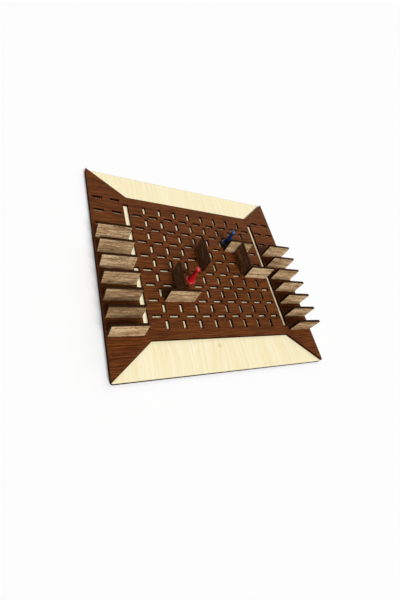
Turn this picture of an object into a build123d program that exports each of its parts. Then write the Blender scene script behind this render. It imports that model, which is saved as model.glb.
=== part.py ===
from build123d import *
import os

# Wooden maze strategy game: a two-layer slotted board, twenty upright wall pieces and two pawns.
# Everything is in millimetres. The origin is at the middle of the board's underside. +Z is up, +X
# points to the right-hand rack, and +Y points away from the player who sits at the front.

# Plywood sheet that the board's two layers and all the walls are cut from
sheet = 3.2

# Playing field: square cells, with a slot in the middle of every edge that two cells share
cells = 9
pitch = 20.0
slot_length = 10.8
slot_side_gap = 0.1
slot_end_gap = 0.3

# Board around the field: two grooves in line on each side, with a bridge of play panel left between
# them, then a rack, and a bare panel at each end
groove_width = 5.6
groove_bridge = 15.0
rack_inset = 1.25
rack_rim = 1.75
end_margin = 7.4
end_panel_depth = 39.4
corner_radius = 3.0

# Wall pieces
wall_height = 21.3
crossing_gap = 0.45
tab_bottom_gap = 0.3
walls_in_rack = 7

# Pawns: a flanged foot, a drawn-in cone, a neck and a ball
foot_radius = 6.0
foot_height = 1.8
foot_edge_radius = 0.7
cone_radius = 4.7
neck_radius = 2.2
ball_radius = 3.4
pawn_height = 25.0
cone_hollow = 0.3

# Where the pawns stand, counted in cells from the left and front edges of the field
red_pawn_place = (3.0, 3.41)
blue_pawn_place = (6.45, 6.66)

slot_width = sheet + 2 * slot_side_gap
field_half = cells * pitch / 2
wall_length = 2 * pitch - sheet - 2 * crossing_gap
groove_length = ((cells - 1) * pitch + slot_length - groove_bridge) / 2
rack_middle = field_half + groove_width + rack_inset + wall_length / 2
board_half_width = rack_middle + wall_length / 2 + rack_rim
end_panel_edge = field_half + end_margin
board_half_depth = end_panel_edge + end_panel_depth
play_surface = 2 * sheet


def grid_line(number):
    """Line between two rows or columns of cells, counted from the front or the left."""
    return number * pitch - field_half


def cell_middle(number):
    """Middle of a row or column of cells, counted from 0 at the front or the left."""
    return grid_line(number + 0.5)


def board_outline():
    """Rectangle with the rounded corners that both layers of the board share."""
    return RectangleRounded(2 * board_half_width, 2 * board_half_depth, corner_radius)


def end_cut(side):
    """Trapezium that bares the base panel at one end, with mitres that run out to the corners."""
    return Polygon(
        (-field_half, side * end_panel_edge),
        (field_half, side * end_panel_edge),
        (board_half_width, side * board_half_depth),
        (-board_half_width, side * board_half_depth),
        align=None,
    )


def slot_along(x, y):
    """Slot that runs front to back."""
    return Pos(x, y) * Rectangle(slot_width, slot_length)


def slot_across(x, y):
    """Slot that runs left to right."""
    return Pos(x, y) * Rectangle(slot_length, slot_width)


def field_slots():
    """A slot on the edge between each cell and the next one, both ways."""
    lines = [grid_line(number) for number in range(1, cells)]
    middles = [cell_middle(number) for number in range(cells)]
    along = [slot_along(line, middle) for line in lines for middle in middles]
    across = [slot_across(middle, line) for line in lines for middle in middles]
    return along + across


def rack_slots(side):
    """Two slots in a row for each stored wall, in line with the field's grid."""
    return [
        slot_across(side * rack_middle + end * pitch / 2, grid_line(row))
        for row in range(cells + 1)
        for end in (-1, 1)
    ]


def groove(side, end):
    """Groove between the field and a rack, from the bridge to the end of the slots nearest one end."""
    x = side * (field_half + groove_width / 2)
    y = end * (groove_bridge + groove_length) / 2
    return Pos(x, y) * Rectangle(groove_width, groove_length)


def base_panel():
    """Plain bottom layer, which shows through the slots and grooves and at both ends."""
    return extrude(board_outline(), sheet)


def play_panel():
    """Top layer, glued on the base, with the slots and grooves cut right through it."""
    layer = board_outline() - [end_cut(side) for side in (-1, 1)]
    layer -= field_slots() + rack_slots(-1) + rack_slots(1)
    layer -= [groove(side, end) for side in (-1, 1) for end in (-1, 1)]
    return Pos(0, 0, sheet) * extrude(layer, sheet)


def wall(x, y, turn=0):
    """Upright wall piece over the place (x, y), with a tab in each of the two slots below it."""
    tab_length = slot_length - 2 * slot_end_gap
    tab_depth = sheet - tab_bottom_gap
    face = Pos(0, wall_height / 2) * Rectangle(wall_length, wall_height)
    for end in (-1, 1):
        face += Pos(end * pitch / 2, -tab_depth / 2) * Rectangle(tab_length, tab_depth)
    plate = extrude(Plane.XZ * face, sheet / 2, both=True)
    return Pos(x, y, play_surface) * Rot(0, 0, turn) * plate


def pawn(columns, rows):
    """Turned pawn that stands on the play surface, that many cells from the left and the front."""
    ball_middle = pawn_height - ball_radius
    neck_height = ball_middle - (ball_radius**2 - neck_radius**2) ** 0.5
    foot_shoulder = foot_height - foot_edge_radius
    foot_corner = foot_radius - foot_edge_radius
    sag_point = (
        (cone_radius + neck_radius) / 2 - cone_hollow,
        (foot_height + neck_height) / 2,
    )
    sections = [
        Line((0, 0), (foot_radius, 0)),
        Line((foot_radius, 0), (foot_radius, foot_shoulder)),
        RadiusArc((foot_radius, foot_shoulder), (foot_corner, foot_height), -foot_edge_radius),
        Line((foot_corner, foot_height), (cone_radius, foot_height)),
        ThreePointArc((cone_radius, foot_height), sag_point, (neck_radius, neck_height)),
        ThreePointArc((neck_radius, neck_height), (ball_radius, ball_middle), (0, pawn_height)),
        Line((0, pawn_height), (0, 0)),
    ]
    profile = Plane.XZ * make_face(Curve() + sections)
    return Pos(grid_line(columns), grid_line(rows), play_surface) * revolve(profile, Axis.Z)


def rack_walls(side, name):
    """Stored walls of one player, from the front row backwards."""
    return {
        f"{name}_{row + 1}": wall(side * rack_middle, grid_line(row)) for row in range(walls_in_rack)
    }


def field_walls():
    """Walls in play, each centred where two lines of the grid cross."""
    return {
        "front_left_wall_across": wall(grid_line(2), grid_line(2)),
        "front_left_wall_along": wall(grid_line(2), grid_line(3), 90),
        "middle_wall_along": wall(grid_line(4), grid_line(5), 90),
        "right_wall_along": wall(grid_line(cells - 2), grid_line(5), 90),
        "right_wall_across": wall(grid_line(cells - 1), grid_line(4)),
        "back_right_wall_across": wall(grid_line(cells - 2), grid_line(6)),
    }


pieces = {
    "base_panel": base_panel(),
    "play_panel": play_panel(),
    **rack_walls(-1, "left_rack_wall"),
    **rack_walls(1, "right_rack_wall"),
    **field_walls(),
    "red_pawn": pawn(*red_pawn_place),
    "blue_pawn": pawn(*blue_pawn_place),
}

os.makedirs("parts", exist_ok=True)
for name, piece in pieces.items():
    export_step(piece, f"parts/{name}.step")
    size = piece.bounding_box().size
    print(f"{name}: {size.X:.2f} x {size.Y:.2f} x {size.Z:.2f} mm, {piece.volume:.1f} cubic mm")
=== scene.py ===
import math

import bpy
import numpy as np
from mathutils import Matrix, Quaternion, Vector
from mathutils.geometry import delaunay_2d_cdt


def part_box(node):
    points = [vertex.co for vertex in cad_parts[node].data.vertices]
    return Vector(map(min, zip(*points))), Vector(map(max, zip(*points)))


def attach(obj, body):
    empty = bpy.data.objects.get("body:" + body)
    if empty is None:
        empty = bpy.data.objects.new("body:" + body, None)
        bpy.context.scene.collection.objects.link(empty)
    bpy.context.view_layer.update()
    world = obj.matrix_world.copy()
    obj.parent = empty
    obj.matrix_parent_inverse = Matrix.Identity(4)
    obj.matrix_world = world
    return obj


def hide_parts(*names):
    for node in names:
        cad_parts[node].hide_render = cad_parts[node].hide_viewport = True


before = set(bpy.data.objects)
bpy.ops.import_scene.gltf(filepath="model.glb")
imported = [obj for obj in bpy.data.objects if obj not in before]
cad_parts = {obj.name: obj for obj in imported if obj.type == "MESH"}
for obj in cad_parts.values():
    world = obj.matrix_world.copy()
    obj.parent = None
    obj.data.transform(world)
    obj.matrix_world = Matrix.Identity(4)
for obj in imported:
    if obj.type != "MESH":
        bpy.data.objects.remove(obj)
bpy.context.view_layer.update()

mm = 0.001

# Base panel
# The bottom layer of the board is one plain sheet of birch plywood, laser-cut to a rounded rectangle
# and sanded. It shows bare at both ends of the board and at the bottom of every slot. Its grain runs
# front to back, and its front end has a pin knot, placed by millimetres along and across the grain.
corner_radius = 3.0
arris = 0.16
scorch_width = 0.55
knot_place = (-106.0, -12.0)
knot_radius = 4.4


def arc(centre, radius, first, last, steps=10):
    """Points on a circle from one angle to another, in degrees."""
    angle = np.radians(np.linspace(first, last, steps))
    return np.stack([centre[0] + radius * np.cos(angle), centre[1] + radius * np.sin(angle)], axis=1)


def inward(outline):
    """For each corner, the step that moves both its sides one unit to their left: the sum of the two
    sides' left normals, divided by one plus their dot product."""
    side = np.roll(outline, -1, axis=0) - outline
    side /= np.linalg.norm(side, axis=1, keepdims=True)
    normal = np.stack([-side[:, 1], side[:, 0]], axis=1)
    before = np.roll(normal, 1, axis=0)
    return (before + normal) / (1 + np.sum(before * normal, axis=1, keepdims=True))


def laser_cut(outlines, thickness):
    """A sheet with its outline and holes cut right through. The outside runs anticlockwise and the holes
    clockwise. Each is carried through rows of (inset, height, burn), from the edge of the scorched
    border on the top face, over the broken arris, down the charred cut and back to the bottom face.
    Triangles fill both faces between the innermost rows."""
    half = thickness / 2
    rows = np.array([
        (scorch_width, half, 0.0), (0.45 * scorch_width, half, 0.3), (arris, half, 0.85),
        (0.3 * arris, half - 0.3 * arris, 1.0), (0.0, half - arris, 1.0),
    ])
    rows = np.concatenate([rows, rows[::-1] * (1, -1, 1)])
    points, burns, quads, rims, first = [], [], [], [], 0
    for outline in outlines:
        step = inward(outline)
        ring = outline[None] + rows[:, 0, None, None] * step[None]
        height = np.broadcast_to(rows[:, 1, None, None], ring.shape[:2] + (1,))
        points.append(np.concatenate([ring, height], axis=2).reshape(-1, 3))
        burns.append(np.repeat(rows[:, 2], len(outline)))
        index = first + np.arange(ring.shape[0] * ring.shape[1]).reshape(ring.shape[:2])
        beside = np.roll(index, -1, axis=1)
        quads.append(np.stack([index[:-1], index[1:], beside[1:], beside[:-1]], axis=2).reshape(-1, 4))
        rims.append((index[0], index[-1]))
        first += index.size
    points = np.concatenate(points)
    top = np.concatenate([rim[0] for rim in rims])
    bottom = np.concatenate([rim[1] for rim in rims])
    place = np.zeros(first, int)
    place[top] = np.arange(len(top))
    loops = [place[rim[0]].tolist() for rim in rims]
    # Output type 2 keeps the triangles that lie inside the outline and outside every hole.
    output_type, tolerance = 2, 1e-6
    found = delaunay_2d_cdt([Vector(p[:2]) for p in points[top]], [], loops, output_type, tolerance)
    origin = np.array([source[0] for source in found[3]])
    triangles = origin[np.array(found[2])]
    a, b, c = (points[top][triangles[:, k], :2] for k in range(3))
    turn = (b[:, 0] - a[:, 0]) * (c[:, 1] - a[:, 1]) - (b[:, 1] - a[:, 1]) * (c[:, 0] - a[:, 0])
    triangles[turn < 0] = triangles[turn < 0][:, ::-1]
    faces = np.concatenate(quads).tolist() + top[triangles].tolist() + bottom[triangles[:, ::-1]].tolist()
    return points, faces, np.concatenate(burns)


def make_mesh(name, points, faces, floats=None, vectors=None):
    """An object at the origin whose mesh holds these points, in millimetres, and these point attributes."""
    mesh = bpy.data.meshes.new(name)
    mesh.from_pydata((points * mm).tolist(), [], faces)
    for label, values in (floats or {}).items():
        mesh.attributes.new(label, "FLOAT", "POINT").data.foreach_set("value", values.astype(np.float32))
    for label, values in (vectors or {}).items():
        held = mesh.attributes.new(label, "FLOAT_VECTOR", "POINT")
        held.data.foreach_set("vector", values.astype(np.float32).ravel())
    piece = bpy.data.objects.new(name, mesh)
    bpy.context.scene.collection.objects.link(piece)
    return piece


def linear(code):
    """The linear colour that an sRGB hex code stands for."""
    share = np.array([int(code[k:k + 2], 16) for k in (0, 2, 4)]) / 255
    value = np.where(share <= 0.04045, share / 12.92, ((share + 0.055) / 1.055) ** 2.4)
    return (*value.tolist(), 1.0)


def empty_tree(owner):
    """The node tree of a new material or world, with no nodes in it."""
    owner.use_nodes = True
    owner.node_tree.nodes.clear()
    return owner.node_tree


def add(tree, kind, inputs=None, ramp=None, **settings):
    """A node with its settings, its colour ramp, and its inputs, which are values or other sockets."""
    node = tree.nodes.new(kind)
    for key, value in settings.items():
        setattr(node, key, value)
    if ramp:
        elements = node.color_ramp.elements
        while len(elements) < len(ramp):
            elements.new(0.5)
        for element, (position, code) in zip(elements, ramp):
            element.position = position
            element.color = linear(code)
    for key, value in (inputs or {}).items():
        if isinstance(value, bpy.types.NodeSocket):
            tree.links.new(value, node.inputs[key])
        else:
            node.inputs[key].default_value = value
    return node


def plywood(name, veneer, streak, band, pore, pore_code, char, roughness, relief, wander=0.0, knot=None):
    """Laser-cut plywood. Streaks and bands are (length along the grain, width, strength) and pores are
    (length, width, share of the surface), in millimetres, and a little coarser than real ones so that
    they show. Wander is how far the grain strays from its line, and a knot is (place, radius, colour).
    The veneer's ramp runs over the sum of its streaks, its bands and a per-plate offset, which draws some
    plates darker or paler and darkens three walls as painted shade; pores darken it, a pin knot stains it,
    and where the laser passed the wood is charred dark brown, in bands along the sheet that are lighter or
    darker through its thickness."""
    stray_size = (70.0, 30.0)
    smoke_size = (1.6, 1.6)
    smoke_strength = 0.7
    pore_softness = 0.12
    knot_strength = 0.8
    char_bands_per_mm = 1.1
    kerf_lines_per_mm = (3.0, 3.0, 0.2)
    char_roughness = 0.85
    material = bpy.data.materials.new(name)
    tree = empty_tree(material)
    grain = add(tree, "ShaderNodeAttribute", attribute_name="grain_mm").outputs["Vector"]
    burn = add(tree, "ShaderNodeAttribute", attribute_name="burn").outputs["Fac"]
    tone_and_painted_shade = add(tree, "ShaderNodeAttribute", attribute_name="tone_and_painted_shade").outputs["Fac"]

    def pattern(vector, size, detail):
        """Noise with grains that long and that wide, in millimetres."""
        stretched = add(tree, "ShaderNodeMapping", {
            "Vector": vector, "Scale": (1 / size[0], 1 / size[1], 1 / size[1])})
        return add(tree, "ShaderNodeTexNoise", {
            "Vector": stretched.outputs[0], "Scale": 1.0, "Detail": detail, "Roughness": 0.6}).outputs["Fac"]

    stray = add(tree, "ShaderNodeMath", {
        0: pattern(grain, stray_size, 0.0), 1: 2 * wander, 2: -wander}, operation="MULTIPLY_ADD")
    stray = add(tree, "ShaderNodeCombineXYZ", {"Y": stray.outputs[0]})
    fibre = add(tree, "ShaderNodeVectorMath", {0: grain, 1: stray.outputs[0]}, operation="ADD").outputs[0]
    streaks = pattern(fibre, streak, 2.0)
    bands = pattern(fibre, band, 2.0)
    pores = pattern(fibre, pore, 1.0)
    centre = 0.5 * (1 - streak[2] - band[2])
    shade = add(tree, "ShaderNodeMath", {0: streaks, 1: streak[2], 2: centre}, operation="MULTIPLY_ADD")
    shade = add(tree, "ShaderNodeMath", {0: bands, 1: band[2], 2: shade.outputs[0]}, operation="MULTIPLY_ADD")
    # Adds the per-plate offset: darker or paler plates, and painted shade on the three along walls.
    shade = add(tree, "ShaderNodeMath", {0: shade.outputs[0], 1: tone_and_painted_shade}, operation="ADD")
    colour = add(tree, "ShaderNodeValToRGB", {"Fac": shade.outputs[0]}, ramp=veneer).outputs["Color"]
    edge = 0.5 + 0.25 * (1 - pore[2])
    open_pore = add(tree, "ShaderNodeMapRange", {
        "Value": pores, "From Min": edge, "From Max": edge + pore_softness})
    colour = add(tree, "ShaderNodeMix", {
        0: open_pore.outputs[0], 6: colour, 7: linear(pore_code)}, data_type="RGBA").outputs[2]
    if knot:
        place, radius, code = knot
        near = add(tree, "ShaderNodeMapping", {
            "Vector": grain, "Location": (-place[0] / radius, -place[1] / radius, 0),
            "Scale": (1 / radius, 1 / radius, 0)})
        near = add(tree, "ShaderNodeVectorMath", {0: near.outputs[0]}, operation="LENGTH")
        stain = add(tree, "ShaderNodeMapRange", {
            "Value": near.outputs["Value"], "To Min": knot_strength, "To Max": 0.0},
            interpolation_type="SMOOTHSTEP")
        colour = add(tree, "ShaderNodeMix", {
            0: stain.outputs[0], 6: colour, 7: linear(code)}, data_type="RGBA").outputs[2]

    smoke = pattern(grain, smoke_size, 3.0)
    uneven = add(tree, "ShaderNodeMath", {
        0: smoke, 1: 2 * smoke_strength, 2: -smoke_strength}, operation="MULTIPLY_ADD")
    spread = add(tree, "ShaderNodeMath", {0: burn, 1: 1.0}, operation="LESS_THAN")
    uneven = add(tree, "ShaderNodeMath", {0: uneven.outputs[0], 1: spread.outputs[0]}, operation="MULTIPLY")
    uneven = add(tree, "ShaderNodeMath", {0: uneven.outputs[0], 1: burn}, operation="MULTIPLY")
    burnt = add(tree, "ShaderNodeMath", {0: uneven.outputs[0], 1: burn}, operation="ADD", use_clamp=True)
    depth = add(tree, "ShaderNodeSeparateXYZ", {0: grain}).outputs["Z"]
    layers = add(tree, "ShaderNodeTexNoise", {
        "W": depth, "Scale": char_bands_per_mm, "Detail": 1.0}, noise_dimensions="1D")
    charred = add(tree, "ShaderNodeValToRGB", {"Fac": layers.outputs["Fac"]}, ramp=char)
    colour = add(tree, "ShaderNodeMix", {
        0: burnt.outputs[0], 6: colour, 7: charred.outputs["Color"]}, data_type="RGBA").outputs[2]

    kerf = add(tree, "ShaderNodeMapping", {"Vector": grain, "Scale": kerf_lines_per_mm})
    kerf = add(tree, "ShaderNodeTexNoise", {"Vector": kerf.outputs[0], "Scale": 1.0, "Detail": 2.0})
    surface = add(tree, "ShaderNodeMix", {0: burn, 2: streaks, 3: kerf.outputs["Fac"]}, data_type="FLOAT")
    bump = add(tree, "ShaderNodeBump", {
        "Strength": 1.0, "Distance": relief * mm, "Height": surface.outputs[0]})
    dull = add(tree, "ShaderNodeMapRange", {
        "Value": burnt.outputs[0], "To Min": roughness, "To Max": char_roughness})
    shader = add(tree, "ShaderNodeBsdfPrincipled", {
        "Base Color": colour, "Roughness": dull.outputs[0], "Specular IOR Level": 0.03,
        "Normal": bump.outputs[0]})
    add(tree, "ShaderNodeOutputMaterial", {"Surface": shader.outputs[0]})
    return material


# The origin is at the middle of the underside, so the upper corner of the box holds all three sizes.
half_width, half_depth, sheet = np.array(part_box("base_panel")[1]) / mm
reach = np.array([half_width, half_depth]) - corner_radius
outline = np.concatenate([
    arc(reach * quarter, corner_radius, start, start + 90)
    for quarter, start in (((1, 1), 0), ((-1, 1), 90), ((-1, -1), 180), ((1, -1), 270))
])
points, faces, burn = laser_cut([outline], sheet)
base = make_mesh("birch_base_panel", points + (0, 0, sheet / 2), faces, {"burn": burn}, {
    "grain_mm": points[:, [1, 0, 2]]})
base.data.materials.append(plywood(
    "sanded_birch_plywood",
    veneer=[(0.0, "F4E2B0"), (0.5, "FBEFC6"), (1.0, "FEF7DC")],
    streak=(60.0, 1.0, 1.7), band=(260.0, 9.0, 0.6), pore=(9.0, 0.5, 0.3), pore_code="E6CD9A",
    char=[(0.35, "160903"), (0.65, "321A0C")], roughness=0.55, relief=0.02, wander=8.0,
    knot=(knot_place, knot_radius, "E4CA98")))
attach(base, "board")
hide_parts("base_panel")

# Play panel
# The top layer is walnut plywood, cut right through with the slots for the walls and with two grooves on
# each side of the field, mitred away at both ends, oiled, and glued down on the base panel.
pitch = (np.array(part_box("left_rack_wall_2")[0]) - np.array(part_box("left_rack_wall_1")[0]))[1] / mm
cells = 9
slot_length = 10.8
slot_width = 3.4
groove_width = 5.6
groove_bridge = 15.0
end_margin = 7.4
field_half = cells * pitch / 2
rack_middle = -sum(np.array(corner)[0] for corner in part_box("left_rack_wall_1")) / 2 / mm


def slot_holes(x, y, length, width):
    """Clockwise rectangles, one for each place (x, y)."""
    corners = np.array([(-1, -1), (-1, 1), (1, 1), (1, -1)]) * (length / 2, width / 2)
    return list(np.stack([np.ravel(x), np.ravel(y)], axis=1)[:, None] + corners[None])


lines = np.arange(1, cells) * pitch - field_half
middles = (np.arange(cells) + 0.5) * pitch - field_half
rack_rows = np.arange(cells + 1) * pitch - field_half
rack_columns = np.array([-1, -1, 1, 1]) * rack_middle + np.array([-1, 1, -1, 1]) * pitch / 2
groove_length = ((cells - 1) * pitch + slot_length - groove_bridge) / 2
groove_x = np.array([-1, 1, -1, 1]) * (field_half + groove_width / 2)
groove_y = np.array([-1, -1, 1, 1]) * (groove_bridge + groove_length) / 2
holes = slot_holes(*np.meshgrid(lines, middles), slot_width, slot_length)
holes += slot_holes(*np.meshgrid(middles, lines), slot_length, slot_width)
holes += slot_holes(*np.meshgrid(rack_columns, rack_rows), slot_length, slot_width)
holes += slot_holes(groove_x, groove_y, groove_width, groove_length)

# Each mitre runs from the end of the margin at the field's corner to the board's corner, where the
# rounding cuts its tip off.
inner = np.array([field_half, field_half + end_margin])
corner = np.array([half_width, half_depth])
back = (inner - corner) / np.linalg.norm(inner - corner)
along = -corner_radius * back.sum()
tip = corner + back * (along - math.sqrt(along**2 - corner_radius**2))
tip_angle = math.degrees(math.atan2(*(tip - reach)[::-1]))
quarter = np.concatenate([arc(reach, corner_radius, 0, tip_angle, 4), inner[None]])
outline = np.concatenate([
    quarter, quarter[::-1] * (-1, 1), quarter * (-1, -1), quarter[::-1] * (1, -1)])
points, faces, burn = laser_cut([outline] + holes, sheet)
play = make_mesh("walnut_play_panel", points + (0, 0, 1.5 * sheet), faces, {"burn": burn}, {
    "grain_mm": points})
play.data.materials.append(plywood(
    "oiled_walnut_plywood",
    veneer=[(0.0, "361C0C"), (0.5, "5C3015"), (1.0, "864F25")],
    streak=(22.0, 0.6, 2.3), band=(140.0, 6.0, 0.4), pore=(9.0, 0.45, 0.5), pore_code="2A1206",
    char=[(0.35, "120401"), (0.65, "2E1005")], roughness=0.5, relief=0.03))
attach(play, "board")
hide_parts("play_panel")

# Walls
# Twenty plain plates, laser-cut side by side from a sheet of raw light brown plywood, each with two tabs
# along its lower edge. Six stand in slots of the field and seven in each rack, held by their tabs alone.
# The grain step is how far along and across the grain each plate lies from the one before it.
tab_length = 10.2
grain_step = np.array([13.0, 31.0, 0.0])
upright = {
    "across": np.array([(1, 0, 0), (0, 0, -1), (0, 1, 0)]),
    "along": np.array([(0, 0, 1), (1, 0, 0), (0, 1, 0)]),
}
wall_plywood = plywood(
    "raw_light_plywood",
    veneer=[(0.0, "82674A"), (0.5, "BC9A70"), (1.0, "E6CBA2")],
    streak=(11.0, 0.9, 2.7), band=(45.0, 5.0, 2.2), pore=(3.0, 0.6, 0.75), pore_code="54391F",
    char=[(0.35, "1A0E07"), (0.65, "3C2414")], roughness=0.7, relief=0.05)


def wall_outline(length, height, tab_depth):
    """The plate seen from the front, from its lower left corner on, with its foot at height 0."""
    left = np.array([
        (-pitch / 2 - tab_length / 2, 0), (-pitch / 2 - tab_length / 2, -tab_depth),
        (-pitch / 2 + tab_length / 2, -tab_depth), (-pitch / 2 + tab_length / 2, 0)])
    right = left[::-1] * (-1, 1)
    ends = np.array([(length / 2, 0), (length / 2, height), (-length / 2, height), (-length / 2, 0)])
    return np.concatenate([left, right, ends])


# Some plates are drawn darker or paler than the rest. The three along walls are darkened all over as
# painted shade, for the deep shade on their left sides, which face away from the lamps.
darker_paler_and_painted_shade = {"left_rack_wall_2": -0.4, "left_rack_wall_3": -0.3, "right_rack_wall_1": -0.25,
         "left_rack_wall_1": 0.1, "right_rack_wall_7": 0.15, "right_wall_across": 0.25,
         "front_left_wall_along": -0.45, "middle_wall_along": -0.45, "right_wall_along": -0.35}
walls = [name for name in sorted(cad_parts) if "wall" in name]
for number, name in enumerate(walls):
    low, high = (np.array(corner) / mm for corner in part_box(name))
    size = high - low
    way = "across" if size[0] > size[1] else "along"
    outline = wall_outline(max(size[:2]), high[2] - 2 * sheet, 2 * sheet - low[2])
    points, faces, burn = laser_cut([outline], min(size[:2]))
    foot = np.array([*(low + high)[:2] / 2, 2 * sheet])
    tone_and_painted_shade = np.full(len(points), darker_paler_and_painted_shade.get(name, 0.0))
    wall = make_mesh(name + "_plate", points @ upright[way].T + foot, faces, {"burn": burn, "tone_and_painted_shade": tone_and_painted_shade}, {
        "grain_mm": points + number * grain_step})
    wall.data.materials.append(wall_plywood)
    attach(wall, name)
    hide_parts(name)

# Pawns
# Two small turned-looking pawns, injection-moulded in coloured plastic with a glossy skin: a flanged
# foot, a drawn-in cone and a ball. They stand loose on the play panel. The neck drop is how far the
# cone's upper end lies under the ball's middle.
foot_radius = 6.0
foot_height = 1.8
foot_round = 0.7
underside_round = 0.25
shoulder_fillet = 0.35
cone_radius = 4.7
cone_hollow = 1.2
neck_radius = 2.2
neck_drop = 2.55
ball_radius = 3.4
waist_blend = 0.6


def pawn_profile(height):
    """Radius and height from the underside to the top. Over the foot, the radius is the smooth maximum
    of a hollow cone and the ball, which rounds the neck between them. The ball's upper half is a quarter
    circle."""
    ball_middle = height - ball_radius
    lower = arc((foot_radius - underside_round, underside_round), underside_round, -90, 0, 4)
    rim = arc((foot_radius - foot_round, foot_height - foot_round), foot_round, 0, 90, 8)
    shoulder = np.array([cone_radius, foot_height]) + shoulder_fillet
    fillet = arc(shoulder, shoulder_fillet, 270, 190, 6)
    z = np.linspace(fillet[-1, 1], ball_middle, 60)
    share = (z - foot_height) / (ball_middle - neck_drop - foot_height)
    cone = cone_radius + (neck_radius - cone_radius) * share - cone_hollow * share * (1 - share)
    ball = np.sqrt(np.maximum(ball_radius**2 - (z - ball_middle) ** 2, 0))
    near = np.clip(0.5 + (ball - cone) / (2 * waist_blend), 0, 1)
    body = cone + (ball - cone) * near + waist_blend * near * (1 - near)
    crown = arc((0, ball_middle), ball_radius, 0, 88, 24)
    return np.concatenate([lower, rim, fillet, np.stack([body, z], axis=1)[1:-1], crown])


def turned(profile, top, segments=96):
    """The profile turned about the vertical axis: each of its points is a ring, and a fan closes each end."""
    angle = np.arange(segments) * 2 * np.pi / segments
    rings = np.stack([
        profile[:, :1] * np.cos(angle), profile[:, :1] * np.sin(angle),
        np.broadcast_to(profile[:, 1:], (len(profile), segments))], axis=2)
    points = np.concatenate([rings.reshape(-1, 3), [(0, 0, profile[0, 1]), (0, 0, top)]])
    index = np.arange(len(profile) * segments).reshape(len(profile), segments)
    beside = np.roll(index, -1, axis=1)
    quads = np.stack([index[:-1], beside[:-1], beside[1:], index[1:]], axis=2).reshape(-1, 4)
    poles = np.full(segments, index.size)
    under = np.stack([poles, beside[0], index[0]], axis=1)
    over = np.stack([poles + 1, index[-1], beside[-1]], axis=1)
    return points, quads.tolist() + under.tolist() + over.tolist()


def glossy_plastic(name, code, worn_code):
    """Moulded polystyrene: one colour right through, a shade paler in broad patches where it is handled,
    with a soft gloss that blurs what it reflects, most where it is worn, and a faint ripple from the
    mould. Sizes are in millimetres."""
    patch_size = 6.0
    ripple_size = 1.2
    ripple_depth = 0.01
    new_roughness = 0.25
    worn_roughness = 0.37
    material = bpy.data.materials.new(name)
    tree = empty_tree(material)
    place = add(tree, "ShaderNodeTexCoord").outputs["Object"]
    patches = add(tree, "ShaderNodeTexNoise", {
        "Vector": place, "Scale": 1 / (patch_size * mm), "Detail": 3.0})
    colour = add(tree, "ShaderNodeMix", {
        0: patches.outputs["Fac"], 6: linear(code), 7: linear(worn_code)}, data_type="RGBA")
    skin = add(tree, "ShaderNodeMapRange", {
        "Value": patches.outputs["Fac"], "From Min": 0.3, "From Max": 0.7,
        "To Min": new_roughness, "To Max": worn_roughness})
    ripple = add(tree, "ShaderNodeTexNoise", {
        "Vector": place, "Scale": 1 / (ripple_size * mm), "Detail": 1.0})
    bump = add(tree, "ShaderNodeBump", {
        "Strength": 1.0, "Distance": ripple_depth * mm, "Height": ripple.outputs["Fac"]})
    shader = add(tree, "ShaderNodeBsdfPrincipled", {
        "Base Color": colour.outputs[2], "Roughness": skin.outputs[0], "IOR": 1.45,
        "Normal": bump.outputs[0]})
    add(tree, "ShaderNodeOutputMaterial", {"Surface": shader.outputs[0]})
    return material


for name, code, worn_code in (("red_pawn", "A60F15", "BA1B21"), ("blue_pawn", "032852", "08376C")):
    low, high = (np.array(corner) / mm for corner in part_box(name))
    height = high[2] - low[2]
    points, faces = turned(pawn_profile(height), height)
    pawn = make_mesh(name + "_turned", points + (*(low + high)[:2] / 2, low[2]), faces)
    pawn.data.polygons.foreach_set("use_smooth", np.ones(len(faces), bool))
    pawn.data.materials.append(glossy_plastic("glossy_" + name, code, worn_code))
    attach(pawn, name)
    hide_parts(name)

# Floor and light
# A plain white floor that keeps the board's shadow, a soft key light from the front, two weaker ones
# from the right and from behind, and a room that is white where it is seen or mirrored, but gives
# almost no light.
floor_half = 6000.0
floor_corners = np.array([(-1, -1, 0), (1, -1, 0), (1, 1, 0), (-1, 1, 0)]) * floor_half
floor = make_mesh("floor", floor_corners, [(0, 1, 2, 3)])
white = bpy.data.materials.new("white_paper_floor")
tree = empty_tree(white)
paper = add(tree, "ShaderNodeBsdfDiffuse", {"Color": linear("FFFFFF")})
add(tree, "ShaderNodeOutputMaterial", {"Surface": paper.outputs[0]})
floor.data.materials.append(white)


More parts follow.
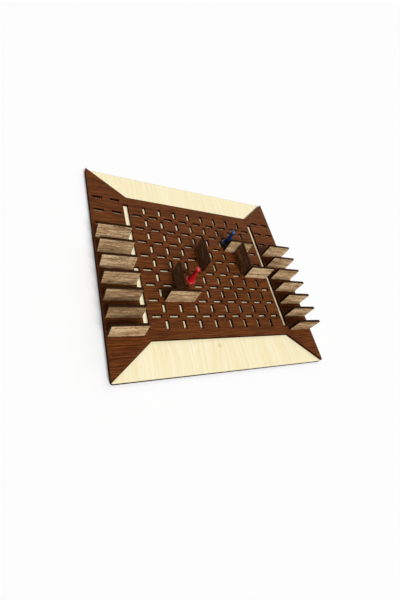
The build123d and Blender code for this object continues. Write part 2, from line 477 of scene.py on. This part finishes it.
def lamp(name, azimuth, elevation, strength, spread):
    """A far lamp, in degrees: azimuth is from the front towards the right, and spread is how wide it
    looks."""
    light = bpy.data.objects.new(name, bpy.data.lights.new(name, "SUN"))
    light.data.energy = strength
    light.data.angle = math.radians(spread)
    around, up = math.radians(azimuth), math.radians(elevation)
    towards = Vector((math.sin(around) * math.cos(up), -math.cos(around) * math.cos(up), math.sin(up)))
    light.rotation_mode = "QUATERNION"
    light.rotation_quaternion = towards.to_track_quat("Z", "Y")
    bpy.context.scene.collection.objects.link(light)


lamp("key", azimuth=8.0, elevation=50.0, strength=3.25, spread=26.0)
lamp("right", azimuth=120.0, elevation=50.0, strength=0.35, spread=50.0)
lamp("back", azimuth=155.0, elevation=36.0, strength=0.45, spread=40.0)

room_light = 0.02
world = bpy.data.worlds.new("room")
bpy.context.scene.world = world
tree = empty_tree(world)
ray = add(tree, "ShaderNodeLightPath").outputs
seen = add(tree, "ShaderNodeMath", {0: ray["Is Camera Ray"], 1: ray["Is Glossy Ray"]}, operation="MAXIMUM")
seen = add(tree, "ShaderNodeMath", {0: seen.outputs[0], 1: ray["Is Transmission Ray"]}, operation="MAXIMUM")
level = add(tree, "ShaderNodeMix", {0: seen.outputs[0], 2: room_light, 3: 1.0}, data_type="FLOAT")
room = add(tree, "ShaderNodeBackground", {"Color": linear("FFFFFF"), "Strength": level.outputs[0]})
add(tree, "ShaderNodeOutputWorld", {"Surface": room.outputs[0]})
bpy.context.scene.view_settings.view_transform = "Standard"

# Camera
# A wide lens close over the board's front left corner, turned so that the board stands on the slant.
# Its axis meets the picture a little off the middle, at that column and row of pixels.
frame_width, frame_height = 401, 601
axis_column, axis_row = 217.25, 321.85
camera = bpy.data.objects.new("camera", bpy.data.cameras.new("camera"))
camera_place = Vector((-194.5, -220.2, 286.5)) * mm
camera_aim = Vector((-9.05, -77.87, 6.4)) * mm
camera_roll = 43.91
camera.data.sensor_width = 36.0
camera.data.lens = 18.94
camera.data.shift_x = (frame_width / 2 - axis_column) / frame_height
camera.data.shift_y = (axis_row - frame_height / 2) / frame_height
camera.data.clip_start, camera.data.clip_end = 0.01, 50.0
camera.location = camera_place
camera.rotation_mode = "QUATERNION"
camera.rotation_quaternion = (camera_aim - camera_place).to_track_quat("-Z", "Y") @ Quaternion(
    (0, 0, 1), math.radians(camera_roll))
bpy.context.scene.collection.objects.link(camera)
bpy.context.scene.camera = camera
